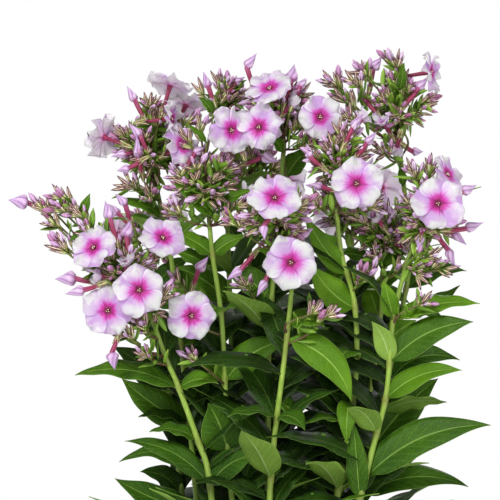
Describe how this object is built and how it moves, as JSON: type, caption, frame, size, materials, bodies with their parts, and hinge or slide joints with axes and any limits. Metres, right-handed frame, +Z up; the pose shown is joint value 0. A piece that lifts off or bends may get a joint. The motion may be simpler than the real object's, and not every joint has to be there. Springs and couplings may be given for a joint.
{
  "type": "phlox plant",
  "caption": "Garden phlox with white to pale lilac flowers and a magenta eye on leafy upright stems, in a plain dark nursery pot.",
  "frame": {"origin": "middle of the pot's underside, on the surface it stands on", "axes": "+Z up along the stems, -Y towards the side the plant was seen from, +X to that viewer's right"},
  "size_m": [0.2833, 0.2184, 0.5311],
  "materials": {
    "pot_plastic": "matte moulded",
    "potting_soil": "rough crumb",
    "foliage": "satin leaf",
    "calyx_and_bud": "satin leaf",
    "petal": "soft petal"
  },
  "bodies": {
    "root": {"pot": "pot_plastic", "soil": "potting_soil", "leafy_stem_01": "foliage", "leafy_stem_02": "foliage", "leafy_stem_03": "foliage", "leafy_stem_04": "foliage", "leafy_stem_05": "foliage", "leafy_stem_06": "foliage", "leafy_stem_07": "foliage", "leafy_stem_08": "foliage", "leafy_stem_09": "foliage", "leafy_stem_10": "foliage", "leafy_stem_11": "foliage", "leafy_stem_12": "foliage", "leafy_stem_13": "foliage", "flower_head_01": "calyx_and_bud", "flower_head_02": "calyx_and_bud", "flower_head_03": "calyx_and_bud", "flower_head_04": "calyx_and_bud", "flower_head_05": "calyx_and_bud", "flower_head_06": "calyx_and_bud", "flower_head_07": "calyx_and_bud", "flower_head_08": "calyx_and_bud", "flower_head_09": "calyx_and_bud", "flower_head_10": "calyx_and_bud", "flower_head_11": "calyx_and_bud", "flower_head_12": "calyx_and_bud", "flower_head_13": "calyx_and_bud", "open_flower_01": "petal", "open_flower_02": "petal", "open_flower_03": "petal", "open_flower_04": "petal", "open_flower_05": "petal", "open_flower_06": "petal", "open_flower_07": "petal", "open_flower_08": "petal", "open_flower_09": "petal", "open_flower_10": "petal", "open_flower_11": "petal", "open_flower_12": "petal", "open_flower_13": "petal", "open_flower_14": "petal", "open_flower_15": "petal", "open_flower_16": "petal", "open_flower_17": "petal", "open_flower_18": "petal", "open_flower_19": "petal", "open_flower_20": "petal", "open_flower_21": "petal", "open_flower_22": "petal", "open_flower_23": "petal", "open_flower_24": "petal", "open_flower_25": "petal", "open_flower_26": "petal", "open_flower_27": "petal", "open_flower_28": "petal", "open_flower_29": "petal"}
  },
  "joints": []
}
